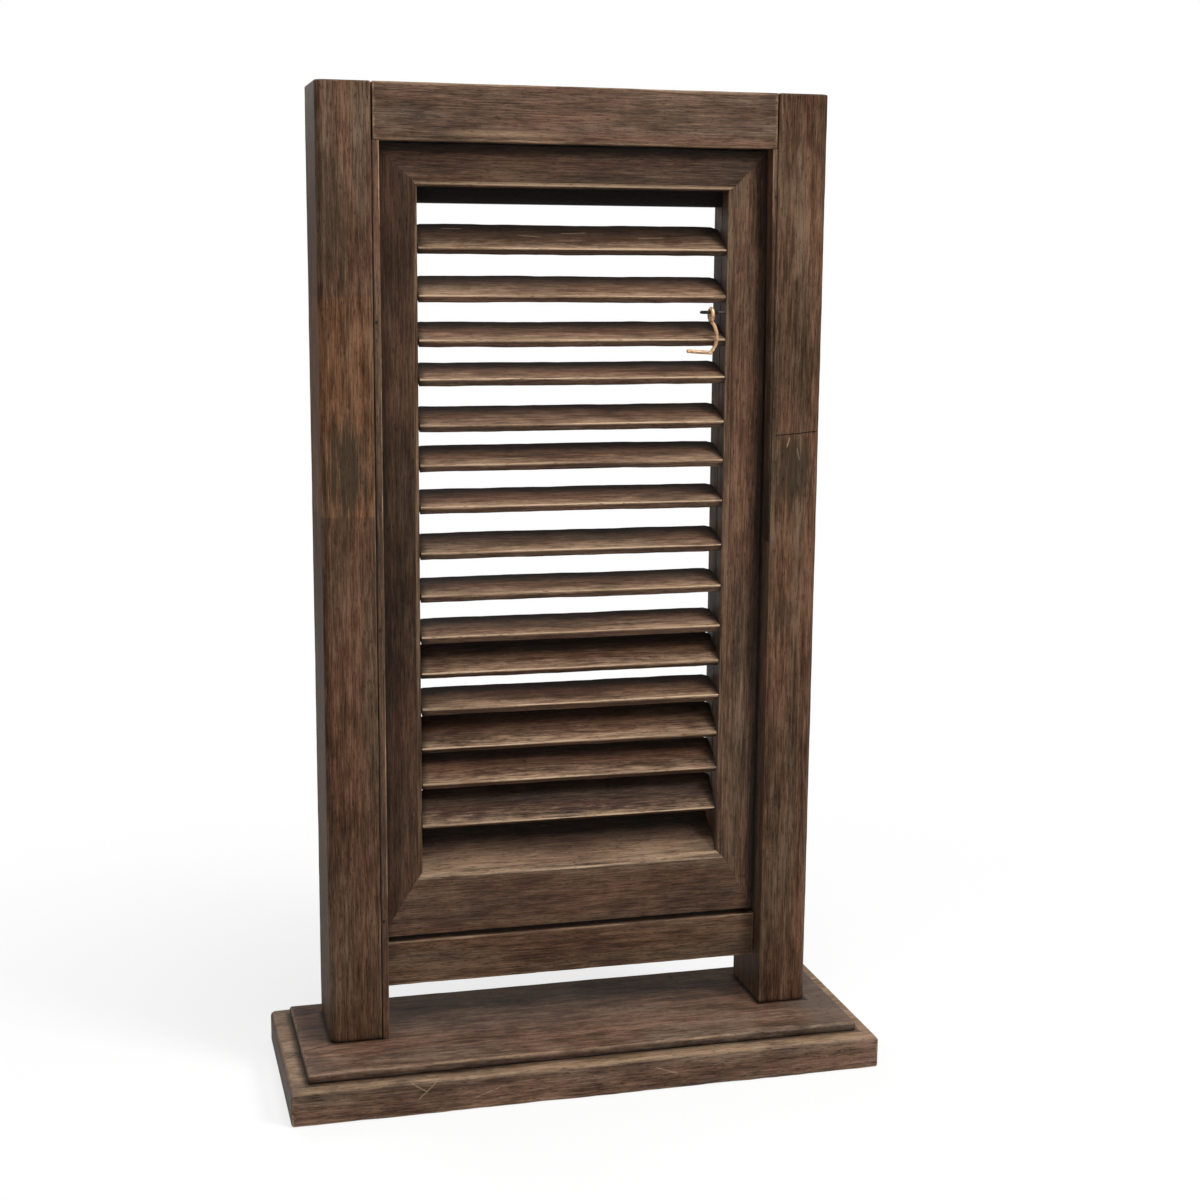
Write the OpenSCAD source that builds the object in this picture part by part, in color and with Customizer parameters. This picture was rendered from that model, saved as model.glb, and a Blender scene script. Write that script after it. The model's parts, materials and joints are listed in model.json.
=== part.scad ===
// Free-standing louvred shutter: one louvred leaf hung in a post and rail frame on a stepped base.
// Millimetres, +Z up, the front faces -Y, origin on the floor under the middle of the base.

/* [Base] */
// Length of the lower base board, left to right
base_w = 592; // [560:1:700]
// Depth of the lower base board, front to back
base_d = 214; // [200:1:300]
// Thickness of the lower base board
base_lower_t = 34; // [24:0.5:45]
// Thickness of the upper base board
base_upper_t = 9.5; // [7:0.5:20]
// Ledge of the lower board that shows round the upper board
base_step = 18; // [10:0.5:24]
// Bevel along the top edges of the lower board
base_lower_bevel = 4; // [1:0.5:6]
// Bevel along the top edges of the upper board
base_upper_bevel = 2; // [0.5:0.5:4]

/* [Frame] */
// Clear width between the posts
opening_w = 394; // [370:1:430]
// Width of each post, seen from the front
post_w = 51; // [44:0.5:60]
// Depth of each post, front to back
post_d = 84; // [80:1:110]
// Height of the posts above the base
post_h = 922; // [880:1:980]
// From the front edge of the upper base board to the front of the posts
post_setback = 69; // [40:1:80]
// Bevel on the outer front edge of each post
post_bevel = 5; // [2:0.5:8]
// Eased edge on the other long edges of posts and rails
edge_ease = 1.5; // [0.5:0.1:2]
// Height of the top rail
top_rail_h = 52.5; // [45:0.5:70]
// Depth of the top rail
top_rail_d = 60; // [45:1:75]
// Height of the bottom rail
bottom_rail_h = 45.5; // [38:0.5:60]
// Depth of the bottom rail
bottom_rail_d = 44; // [36:1:55]
// Open slot between the base and the bottom rail
foot_slot_h = 48; // [30:1:60]
// Open joint between a rail's shoulder and the post
shoulder_gap = 1.2; // [0.4:0.1:2]
// Length of the rail tenons
tenon_l = 28; // [20:1:36]
// Thickness of the rail tenons
tenon_t = 16; // [12:0.5:20]
// Shoulder above and below each tenon
tenon_shoulder = 9; // [6:0.5:14]
// Clearance of a tenon or dowel in its hole
joinery_fit = 0.15; // [0.05:0.05:0.3]

/* [Stop beads] */
// Width of the left stop bead
bead_w = 7; // [5:0.5:9]
// Clearance between a bead and the closed leaf
bead_gap = 0.5; // [0.3:0.1:1.5]
// Width of the right bead at its top
wedge_top_w = 5.3; // [3:0.1:7]
// Width of the right bead at its foot
wedge_foot_w = 1; // [0.6:0.1:3]
// Length of the right bead
wedge_l = 383; // [250:1:600]
// Eased edge of a bead, which opens a fine line beside the post
bead_ease = 0.5; // [0.2:0.1:0.5]
// Shank diameter of the brads
nail_d = 1.6; // [1.2:0.1:2]
// Head diameter of the brads
nail_head_d = 2.8; // [2.2:0.1:3.6]
// Length of the brads
nail_l = 24; // [16:1:30]
// Brads along the left bead
left_nails = 3; // [2:1:8]
// Brads along the right bead
right_nails = 2; // [2:1:5]

/* [Leaf] */
// From the front of the posts back to the front of the leaf
leaf_setback = 16.5; // [12:0.5:20]
// Thickness of the leaf
leaf_t = 48; // [46:0.5:52]
// Gap on the hinge side
hinge_gap = 3; // [2.8:0.1:4]
// Gap on the lock side, wide enough for the leaf's corner to swing past the post
lock_gap = 4.5; // [4.2:0.1:8]
// Gap above the leaf
leaf_top_gap = 2; // [1:0.5:6]
// Gap under the leaf
leaf_foot_gap = 6; // [2:0.5:10]
// Width of the hinge stile
hinge_stile_w = 42; // [36:0.5:60]
// Width of the lock stile
lock_stile_w = 38; // [34:0.5:60]
// Height of the leaf's top rail
sash_top_h = 38; // [32:0.5:60]
// Height of the leaf's bottom rail
sash_bottom_h = 63; // [45:0.5:90]
// Bevel round the inner edge of the leaf
sash_bevel = 5.5; // [3:0.5:8]
// Rear lip under the leaf's top rail that the first slat closes towards
lip_h = 14.5; // [6:0.5:18]
// Rise of the sloped sill on the leaf's bottom rail, front to back
sill_rise = 33; // [20:0.5:36]
// Flat between the bevel and the sloped sill
sill_front = 1.5; // [1:0.5:6]
// Width of the fine groove down the pivot line
groove_w = 1.6; // [1:0.1:3]
// Depth of that groove
groove_depth = 1.5; // [0.5:0.1:3]
// Diameter of the corner dowels
dowel_d = 8; // [6:0.5:10]
// Length of the corner dowels
dowel_l = 30; // [22:1:32]

/* [Slats] */
// Width of a slat, front to back
slat_w = 41; // [34:0.5:42]
// Thickness of a slat
slat_t = 8; // [5:0.5:9]
// Eased edges of a slat
slat_ease = 1; // [0.4:0.1:1.5]
// Gap between a slat's end and the stile
slat_end_gap = 1; // [0.8:0.1:4]
// Clipped rear corner, along the slat
clip_l = 2; // [1:0.5:15]
// Clipped rear corner, across the slat
clip_w = 5; // [2:0.5:14]
// Diameter of the turned pin at each end
pin_d = 6; // [4:0.5:7]
// Length of a pin inside the stile
pin_seat_l = 8; // [5:0.5:16]
// Radial clearance of a pin in its bore
pin_fit = 0.08; // [0.03:0.01:0.1]
// From the leaf's upper opening edge to the first pivot
first_pivot = 48; // [40:1:70]
// From the leaf's lower opening edge to the last pivot
last_pivot = 59; // [40:1:80]

/* [Hinges] */
// Height of a hinge
hinge_h = 64; // [50:1:90]
// Thickness of a hinge plate
plate_t = 1.3; // [1:0.1:1.3]
// Width of a hinge plate inside the joint
plate_w = 34; // [24:1:40]
// Radius of the knuckle
knuckle_r = 4.2; // [3.6:0.1:5]
// Diameter of the hinge pin
hinge_pin_d = 4; // [3:0.1:4.5]
// Radial clearance of the pin in the moving knuckles
hinge_fit = 0.05; // [0.02:0.01:0.1]
// Gap between neighbouring knuckles
knuckle_gap = 0.4; // [0.2:0.1:0.8]
// From the leaf's end to the middle of the nearer hinge
hinge_inset = 110; // [60:1:200]

/* [Hook] */
// Wire diameter of the hook
hook_d = 3.6; // [3:0.1:4.5]
// Inside radius of the hook's eye
hook_eye_r = 4; // [3.6:0.1:5]
// Drop of the bowed shank, from its eye to the bend
hook_drop = 31; // [22:0.5:40]
// Sideways bow of the shank
hook_bow = 6.2; // [3:0.1:9]
// Length of the bent tip
hook_tip_l = 23; // [12:0.5:30]
// Rise of the tip, in degrees
hook_tip_rise = 4; // [0:1:20]
// Wire diameter of the screw eye
eye_d = 3; // [2.4:0.1:3.4]
// Radius of the screw eye's ring, to the middle of its wire
eye_ring_r = 7.5; // [7:0.1:8]
// Neck of the screw eye between the stile and the ring
eye_neck_l = 10; // [6:0.5:12]
// Length of the screw eye inside the stile
eye_seat_l = 15; // [10:0.5:22]
// From the front of the leaf back to the screw eye
eye_setback = 7.5; // [7:0.1:8]
// Play between the hook and the screw eye
link_play = 0.35; // [0.3:0.05:0.5]

/* [Fixings] */
// Shank diameter of the base screws
base_screw_d = 7; // [5:0.5:9]
// Head diameter of the base screws
base_screw_head_d = 14; // [10:0.5:18]
// Head height of the base screws
base_screw_head_h = 5; // [3:0.5:7]
// Length of a base screw inside the post
base_screw_grip = 50; // [30:1:80]
// Recess of a screw head above the floor
base_screw_recess = 3; // [1:0.5:8]
// Shank diameter of the hinge screws
hinge_screw_d = 3.2; // [2.5:0.1:4]
// Head diameter of the hinge screws
hinge_screw_head_d = 6.4; // [5:0.1:8]
// Length of the hinge screws inside the wood
hinge_screw_l = 16; // [10:1:22]
// Clearance of a screw or brad in its hole
screw_fit = 0.06; // [0.02:0.01:0.1]

/* [Hidden] */
$fn = 64;
stain = "#4a3426";
stain_dark = "#3d2b20";
iron = "#2b2a29";
brass = "#b98a4a";

// Each slat's rest tilt in degrees, top to bottom: positive drops the front edge
slat_tilt = [34, 27, 24, 20, 23, 23, 19, 21, 17, 17, 37, 20, 43, 39, 54];
// Hand-bored spacing from each pivot down to the next, as shares of the pivot span
slat_step = [47, 43, 38, 43, 38, 42, 44, 43, 41, 30, 41, 33, 37.5, 39.5];
slat_n = len(slat_tilt);
// Slats either side of the screw eye, counted from the top
eye_below_slat = 2;
// Reach of a cutting tool past the face it cuts
over = 1;

function sum_to(list, n) = n <= 0 ? 0 : list[n - 1] + sum_to(list, n - 1);

// Base and posts
base_h = base_lower_t + base_upper_t;
front_y = -base_d / 2 + base_step + post_setback;
post_x = opening_w / 2;
post_mid_x = post_x + post_w / 2;
post_mid_y = front_y + post_d / 2;
top_z = base_h + post_h;
rail_z = top_z - top_rail_h;
slot_z = base_h + foot_slot_h;
sill_z = slot_z + bottom_rail_h;

// Leaf outline and its opening
leaf_y = front_y + leaf_setback;
leaf_back_y = leaf_y + leaf_t;
leaf_x0 = -post_x + hinge_gap;
leaf_x1 = post_x - lock_gap;
leaf_z0 = sill_z + leaf_foot_gap;
leaf_z1 = rail_z - leaf_top_gap;
in_x0 = leaf_x0 + hinge_stile_w;
in_x1 = leaf_x1 - lock_stile_w;
in_z0 = leaf_z0 + sash_bottom_h;
in_z1 = leaf_z1 - sash_top_h;
// The mitre leaves the inner corner at 45 degrees past the bevel, then runs to the outer corner
mitre_run = sash_bevel + 2;
pivot_y = leaf_y + leaf_t / 2;
sill_y = leaf_y + sash_bevel + sill_front;
pivot_top_z = in_z1 - first_pivot;
pivot_span = pivot_top_z - in_z0 - last_pivot;
step_total = sum_to(slat_step, slat_n - 1);
function pivot_z(i) = pivot_top_z - pivot_span * sum_to(slat_step, i) / step_total;
slat_l = in_x1 - in_x0 - 2 * slat_end_gap;
slat_mid_x = (in_x0 + in_x1) / 2;
bore_end_gap = 1;
bore_l = pin_seat_l + bore_end_gap;

// Stop beads
bead_d = leaf_setback - bead_gap;
wedge_z = rail_z - wedge_l;
nail_skew = 30;
nail_proud = 0.3;
nail_head_h = 1;
// Lowest and highest brad of each bead, as shares of the bead's length
left_nail_span = [0.14, 0.81];
right_nail_span = [0.4, 0.88];
function nail_share(span, i, n) = span[0] + (span[1] - span[0]) * i / (n - 1);

// Hinges: the plates fill the hinge gap and the knuckles stand behind the leaf
knuckle_bite = 0.2;
knuckle_back = 0.6;
axis_x = -post_x + plate_t + knuckle_r - knuckle_bite;
axis_y = leaf_back_y + knuckle_r + knuckle_back;
knuckle_n = 5;
hinge_zs = [leaf_z1 - hinge_inset, leaf_z0 + hinge_inset];
hinge_screw_pitch = 0.36 * hinge_h;
pin_head_h = 2;
pin_head_r = hinge_pin_d / 2 + 1;
pin_head_ease = 0.6;

// Screw eye and hook
eye_x = in_x1 - eye_neck_l - eye_ring_r;
eye_y = leaf_y + eye_setback;
eye_z = (pivot_z(eye_below_slat - 1) + pivot_z(eye_below_slat)) / 2;
hook_y = eye_y - eye_ring_r;
// The wire is a little fuller where it is bent: round the eye and at the tip
hook_wire_r = hook_d / 2;
hook_bent_r = hook_wire_r + 0.1;
hook_ring_r = hook_eye_r + hook_bent_r;
hook_ring_drop = hook_eye_r - eye_d / 2 - link_play;
bow_r = (pow(hook_drop / 2, 2) + pow(hook_bow, 2)) / (2 * hook_bow);
bow_half = asin(hook_drop / 2 / bow_r);

// A block between two corners
module block(from, to) {
    translate(from) cube(to - from);
}

// Outline in the XZ plane, made solid from y back over depth
module front_prism(points, y, depth) {
    translate([0, y + depth, 0]) rotate([90, 0, 0]) linear_extrude(depth) polygon(points);
}

// Outline in the YZ plane, made solid from x to the right over length
module side_prism(points, x, length) {
    translate([x, 0, 0]) rotate([90, 0, 90]) linear_extrude(length) polygon(points);
}

// A rectangle's outline with its four corners cut at 45 degrees, from the low corner round
function eased(a0, b0, a1, b1, c) = [
    [a0 + c, b0], [a1 - c, b0], [a1, b0 + c], [a1, b1 - c],
    [a1 - c, b1], [a0 + c, b1], [a0, b1 - c], [a0, b0 + c]
];

// A round bar along X from x over length
module bar_x(x, y, z, length, r) {
    translate([x, y, z]) rotate([0, 90, 0]) cylinder(h = length, r = r);
}

// A flat board whose upper edges are bevelled all round
module bevelled_board(w, d, t, bevel) {
    intersection() {
        side_prism([[-d / 2, 0], [d / 2, 0], [d / 2, t - bevel], [d / 2 - bevel, t],
            [-d / 2 + bevel, t], [-d / 2, t - bevel]], -w / 2, w);
        front_prism([[-w / 2, 0], [w / 2, 0], [w / 2, t - bevel], [w / 2 - bevel, t],
            [-w / 2 + bevel, t], [-w / 2, t - bevel]], -d / 2, d);
    }
}

// Screws from under the base into the posts; grow widens them to cut their own holes
module base_screw_set(grow) {
    for (side = [-1, 1], end = [-1, 1])
        translate([side * post_mid_x, post_mid_y + end * post_d / 4, 0]) {
            translate([0, 0, base_screw_recess]) {
                cylinder(h = base_screw_head_h, r = base_screw_head_d / 2 + grow);
                cylinder(h = base_h - base_screw_recess + base_screw_grip, r = base_screw_d / 2 + grow);
            }
            if (grow > 0)
                translate([0, 0, -over])
                    cylinder(h = base_screw_recess + over, r = base_screw_head_d / 2 + grow);
        }
}

module base_lower() {
    color(stain) difference() {
        bevelled_board(base_w, base_d, base_lower_t, base_lower_bevel);
        base_screw_set(screw_fit);
    }
}

module base_upper() {
    color(stain) difference() {
        translate([0, 0, base_lower_t])
            bevelled_board(base_w - 2 * base_step, base_d - 2 * base_step, base_upper_t, base_upper_bevel);
        base_screw_set(screw_fit);
    }
}

module base_screws() {
    color(iron) base_screw_set(0);
}

// Section of the right post seen from above, with the wide bevel on its outer front edge
post_section = [
    [post_x + edge_ease, front_y], [post_x + post_w - post_bevel, front_y],
    [post_x + post_w, front_y + post_bevel], [post_x + post_w, front_y + post_d - edge_ease],
    [post_x + post_w - edge_ease, front_y + post_d], [post_x + edge_ease, front_y + post_d],
    [post_x, front_y + post_d - edge_ease], [post_x, front_y + edge_ease]
];

module post_blank() {
    translate([0, 0, base_h]) linear_extrude(post_h) polygon(post_section);
}

// Tenons of a rail between z0 and z1, centred on y; grow makes the mortise
module tenons(z0, z1, y, grow) {
    reach = post_x + tenon_l + (grow > 0 ? over : 0);
    block([-reach, y - tenon_t / 2 - grow, z0 + tenon_shoulder - grow],
        [reach, y + tenon_t / 2 + grow, z1 - tenon_shoulder + grow]);
}

module rail_tenons(grow) {
    tenons(rail_z, top_z, front_y + top_rail_d / 2, grow);
    tenons(slot_z, sill_z, leaf_y + bottom_rail_d / 2, grow);
}

module post_left() {
    color(stain) difference() {
        mirror([1, 0, 0]) post_blank();
        rail_tenons(joinery_fit);
        base_screw_set(screw_fit);
        bead_nail_set(screw_fit);
        for (z = hinge_zs) hinge_screw_row(z, -post_x + plate_t, 180, screw_fit);
    }
}

module post_right() {
    color(stain) difference() {
        post_blank();
        rail_tenons(joinery_fit);
        base_screw_set(screw_fit);
        bead_nail_set(screw_fit);
    }
}

// A rail between the posts with a tenon on each end
module rail(z0, z1, y, depth) {
    shoulder_x = post_x - shoulder_gap;
    side_prism(eased(y, z0, y + depth, z1, edge_ease), -shoulder_x, 2 * shoulder_x);
    tenons(z0, z1, y + depth / 2, 0);
}

module top_rail() {
    color(stain) rail(rail_z, top_z, front_y, top_rail_d);
}

module bottom_rail() {
    color(stain) rail(slot_z, sill_z, leaf_y, bottom_rail_d);
}

// A brad driven into a bead's front and skewed into the post on the given side
module brad(x, z, side, grow) {
    translate([x, front_y - nail_proud, z]) rotate([0, 0, side * -nail_skew]) rotate([-90, 0, 0]) {
        cylinder(h = nail_l, r = nail_d / 2 + grow);
        cylinder(h = nail_head_h + nail_proud, r = nail_head_d / 2 + grow);
    }
}

module bead_nail_set(grow) {
    for (i = [0 : left_nails - 1]) {
        share = nail_share(left_nail_span, i, left_nails);
        brad(-post_x + bead_w / 2, base_h + (rail_z - base_h) * share, -1, grow);
    }
    for (i = [0 : right_nails - 1]) {
        share = nail_share(right_nail_span, i, right_nails);
        width = wedge_foot_w + (wedge_top_w - wedge_foot_w) * share;
        brad(post_x - width / 2, wedge_z + wedge_l * share, 1, grow);
    }
}

module bead_nails() {
    color(iron) bead_nail_set(0);
}

module bead_left() {
    color(stain) difference() {
        translate([0, 0, base_h]) linear_extrude(rail_z - base_h)
            polygon(eased(-post_x, front_y, -post_x + bead_w, front_y + bead_d, bead_ease));
        bead_nail_set(screw_fit);
    }
}

module bead_right() {
    color(stain) difference() {
        front_prism([[post_x, wedge_z], [post_x, rail_z], [post_x - wedge_top_w, rail_z],
            [post_x - wedge_foot_w, wedge_z]], front_y, bead_d);
        bead_nail_set(screw_fit);
    }
}

// Hinge: knuckles numbered from the foot; the post has the even ones, the sash the odd ones
knuckle_h = hinge_h / knuckle_n;

module knuckles(z, first, inner_r, strap_x, strap_t) {
    for (k = [first : 2 : knuckle_n - 1])
        translate([0, 0, z - hinge_h / 2 + k * knuckle_h + knuckle_gap / 2])
            difference() {
                union() {
                    translate([axis_x, axis_y, 0]) cylinder(h = knuckle_h - knuckle_gap, r = knuckle_r);
                    block([strap_x, leaf_back_y - over, 0],
                        [strap_x + strap_t, axis_y, knuckle_h - knuckle_gap]);
                    block([strap_x, axis_y - strap_t, 0], [axis_x, axis_y, knuckle_h - knuckle_gap]);
                }
                translate([axis_x, axis_y, -over])
                    cylinder(h = knuckle_h + 2 * over, r = inner_r);
            }
}

// Three screws of one hinge plate, their heads flush at x, driven towards the given turn about Z
module hinge_screw_row(z, x, turn, grow) {
    for (dz = [-hinge_screw_pitch, 0, hinge_screw_pitch])
        translate([x, leaf_back_y - plate_w / 2, z + dz]) rotate([0, 0, turn]) rotate([0, 90, 0]) {
            cylinder(h = plate_t, r1 = hinge_screw_head_d / 2 + grow, r2 = hinge_screw_d / 2 + grow);
            cylinder(h = plate_t + hinge_screw_l, r = hinge_screw_d / 2 + grow);
        }
}

module hinge_post(z) {
    color(iron) {
        difference() {
            block([-post_x, leaf_back_y - plate_w, z - hinge_h / 2],
                [-post_x + plate_t, leaf_back_y, z + hinge_h / 2]);
            hinge_screw_row(z, -post_x + plate_t, 180, screw_fit);
        }
        knuckles(z, 0, hinge_pin_d / 2 + hinge_fit / 2, -post_x, plate_t);
    }
}

module hinge_sash(z) {
    color(iron) {
        difference() {
            block([leaf_x0 - plate_t, leaf_back_y - plate_w, z - hinge_h / 2],
                [leaf_x0, leaf_back_y, z + hinge_h / 2]);
            hinge_screw_row(z, leaf_x0 - plate_t, 0, screw_fit);
        }
        knuckles(z, 1, hinge_pin_d / 2 + hinge_fit, leaf_x0 - plate_t, plate_t);
    }
}

module hinge_pin(z) {
    color(iron) translate([axis_x, axis_y, z - hinge_h / 2 - pin_head_h]) rotate_extrude()
        polygon([[0, 0], [pin_head_r - pin_head_ease, 0], [pin_head_r, pin_head_ease],
            [pin_head_r, pin_head_h], [hinge_pin_d / 2, pin_head_h],
            [hinge_pin_d / 2, hinge_h + pin_head_h], [pin_head_r, hinge_h + pin_head_h],
            [pin_head_r, hinge_h + 2 * pin_head_h - pin_head_ease],
            [pin_head_r - pin_head_ease, hinge_h + 2 * pin_head_h], [0, hinge_h + 2 * pin_head_h]]);
}

module hinge_screws_post() {
    color(iron) for (z = hinge_zs) hinge_screw_row(z, -post_x + plate_t, 180, 0);
}

module hinge_screws_sash() {
    color(iron) for (z = hinge_zs) hinge_screw_row(z, leaf_x0 - plate_t, 0, 0);
}

// Dowels across the mitres, each level and half way along its joint
module dowel_set(grow) {
    mid_xs = [(leaf_x0 + in_x0) / 2, (leaf_x1 + in_x1) / 2];
    mid_zs = [(leaf_z0 + in_z0) / 2, (leaf_z1 + in_z1) / 2];
    for (x = mid_xs, z = mid_zs)
        bar_x(x - dowel_l / 2 - grow, pivot_y, z, dowel_l + 2 * grow, dowel_d / 2 + grow);
}

module corner_dowels() {
    color(stain_dark) dowel_set(0);
}

// Bores for the slat pins and the fine groove down the pivot line, at the inner face x
module pivot_cuts(x, side) {
    for (i = [0 : slat_n - 1])
        bar_x(side > 0 ? x - over : x - bore_l, pivot_y, pivot_z(i), bore_l + over, pin_d / 2 + pin_fit);
    block([side > 0 ? x - over : x - groove_depth, pivot_y - groove_w / 2, in_z0 + sill_rise],
        [side > 0 ? x + groove_depth : x + over, pivot_y + groove_w / 2, in_z1 - lip_h]);
}

module stile_hinge() {
    color(stain) difference() {
        front_prism([[leaf_x0, leaf_z0], [in_x0 - mitre_run, in_z0 - mitre_run], [in_x0, in_z0],
            [in_x0, in_z1], [in_x0 - mitre_run, in_z1 + mitre_run], [leaf_x0, leaf_z1]], leaf_y, leaf_t);
        translate([0, 0, leaf_z0]) linear_extrude(leaf_z1 - leaf_z0)
            polygon([[in_x0 - sash_bevel - over, leaf_y - over], [in_x0 + over, leaf_y - over],
                [in_x0 + over, leaf_y + sash_bevel + over]]);
        pivot_cuts(in_x0, -1);
        dowel_set(joinery_fit);
        for (z = hinge_zs) hinge_screw_row(z, leaf_x0 - plate_t, 0, screw_fit);
    }
}

module stile_lock() {
    color(stain) difference() {
        front_prism([[leaf_x1, leaf_z0], [leaf_x1, leaf_z1], [in_x1 + mitre_run, in_z1 + mitre_run],
            [in_x1, in_z1], [in_x1, in_z0], [in_x1 + mitre_run, in_z0 - mitre_run]], leaf_y, leaf_t);
        translate([0, 0, leaf_z0]) linear_extrude(leaf_z1 - leaf_z0)
            polygon([[in_x1 + sash_bevel + over, leaf_y - over], [in_x1 - over, leaf_y - over],
                [in_x1 - over, leaf_y + sash_bevel + over]]);
        pivot_cuts(in_x1, 1);
        dowel_set(joinery_fit);
        bar_x(in_x1 - over, eye_y, eye_z, eye_seat_l + over + screw_fit, eye_d / 2 + screw_fit);
    }
}

module sash_top() {
    color(stain) difference() {
        union() {
            front_prism([[leaf_x0, leaf_z1], [in_x0 - mitre_run, in_z1 + mitre_run], [in_x0, in_z1],
                [in_x1, in_z1], [in_x1 + mitre_run, in_z1 + mitre_run], [leaf_x1, leaf_z1]], leaf_y, leaf_t);
            block([in_x0, pivot_y, in_z1 - lip_h], [in_x1, leaf_back_y, in_z1 + over]);
        }
        side_prism([[leaf_y - over, in_z1 + sash_bevel + over], [leaf_y - over, in_z1 - over],
            [leaf_y + sash_bevel + over, in_z1 - over]], leaf_x0, leaf_x1 - leaf_x0);
        dowel_set(joinery_fit);
    }
}

module sash_bottom() {
    color(stain) difference() {
        union() {
            front_prism([[leaf_x0, leaf_z0], [leaf_x1, leaf_z0], [in_x1 + mitre_run, in_z0 - mitre_run],
                [in_x1, in_z0], [in_x0, in_z0], [in_x0 - mitre_run, in_z0 - mitre_run]], leaf_y, leaf_t);
            side_prism([[sill_y, in_z0 - over], [sill_y, in_z0], [leaf_back_y, in_z0 + sill_rise],
                [leaf_back_y, in_z0 - over]], in_x0, in_x1 - in_x0);
        }
        side_prism([[leaf_y - over, in_z0 - sash_bevel - over], [leaf_y + sash_bevel + over, in_z0 + over],
            [leaf_y - over, in_z0 + over]], leaf_x0, leaf_x1 - leaf_x0);
        dowel_set(joinery_fit);
    }
}

// A slat with its rear corners clipped and a turned pin at each end, at its rest tilt
module slat(i) {
    half = slat_l / 2;
    pin_l = slat_end_gap + pin_seat_l;
    color(stain) translate([slat_mid_x, pivot_y, pivot_z(i)]) rotate([slat_tilt[i], 0, 0]) {
        difference() {
            side_prism(eased(-slat_w / 2, -slat_t / 2, slat_w / 2, slat_t / 2, slat_ease), -half, slat_l);
            for (side = [0, 1])
                mirror([side, 0, 0]) translate([0, 0, -slat_t / 2 - over]) linear_extrude(slat_t + 2 * over)
                    polygon([[half - clip_l, slat_w / 2], [half, slat_w / 2 - clip_w],
                        [half + over, slat_w / 2 - clip_w], [half + over, slat_w / 2 + over],
                        [half - clip_l, slat_w / 2 + over]]);
        }
        bar_x(-half - pin_l, 0, 0, slat_l + 2 * pin_l, pin_d / 2);
    }
}

// Iron eye screwed into the lock stile, its ring level between two slats and clear of both
module screw_eye() {
    color(iron) translate([eye_x, eye_y, eye_z]) {
        bar_x(eye_ring_r, 0, 0, eye_neck_l + eye_seat_l, eye_d / 2);
        rotate_extrude() translate([eye_ring_r, 0]) circle(r = eye_d / 2);
    }
}

// Half the outline of a wire of radius r that starts flat and ends round at the given length
module round_end_half(r, length) {
    square([r, length]);
    translate([0, length]) intersection() {
        circle(r = r);
        square(r);
    }
}

// Brass hook: an eye round the iron ring, a bowed shank and a bent tip
module hook() {
    shank_z = -hook_ring_drop - hook_ring_r;
    bend_z = shank_z - hook_drop;
    color(brass) translate([eye_x, hook_y, eye_z]) {
        translate([0, 0, -hook_ring_drop]) rotate([0, 90, 0]) rotate_extrude()
            translate([hook_ring_r, 0]) circle(r = hook_bent_r);
        translate([hook_bow - bow_r, 0, shank_z - hook_drop / 2]) rotate([90, 0, 0]) rotate([0, 0, -bow_half])
            rotate_extrude(angle = 2 * bow_half) translate([bow_r, 0]) circle(r = hook_wire_r);
        translate([0, 0, bend_z]) {
            sphere(r = hook_bent_r);
            rotate([0, -90 + hook_tip_rise, 0]) rotate_extrude() round_end_half(hook_wire_r, hook_tip_l);
        }
    }
}

base_lower();
base_upper();
post_left();
post_right();
top_rail();
bottom_rail();
bead_left();
bead_right();
bead_nails();
base_screws();
hinge_post(hinge_zs[0]);  // hinge_upper_post
hinge_post(hinge_zs[1]);  // hinge_lower_post
hinge_pin(hinge_zs[0]);  // hinge_upper_pin
hinge_pin(hinge_zs[1]);  // hinge_lower_pin
hinge_screws_post();
stile_hinge();
stile_lock();
sash_top();
sash_bottom();
corner_dowels();
hinge_sash(hinge_zs[0]);  // hinge_upper_sash
hinge_sash(hinge_zs[1]);  // hinge_lower_sash
hinge_screws_sash();
screw_eye();
slat(0);  // slat_01
slat(1);  // slat_02
slat(2);  // slat_03
slat(3);  // slat_04
slat(4);  // slat_05
slat(5);  // slat_06
slat(6);  // slat_07
slat(7);  // slat_08
slat(8);  // slat_09
slat(9);  // slat_10
slat(10);  // slat_11
slat(11);  // slat_12
slat(12);  // slat_13
slat(13);  // slat_14
slat(14);  // slat_15
hook();
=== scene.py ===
# %% [markdown]
# # A louvred shutter in dark stained wood
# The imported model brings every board, slat and fitting at its real size.
# This lesson dresses it. The camera comes first, then a way to write shaders as sums,
# then boards with worn edges made from arrays, their stain, the metals, and the light.

# %% Load the frame
import json
import math

import bpy
import numpy as np
from mathutils import Matrix, Vector


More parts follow.
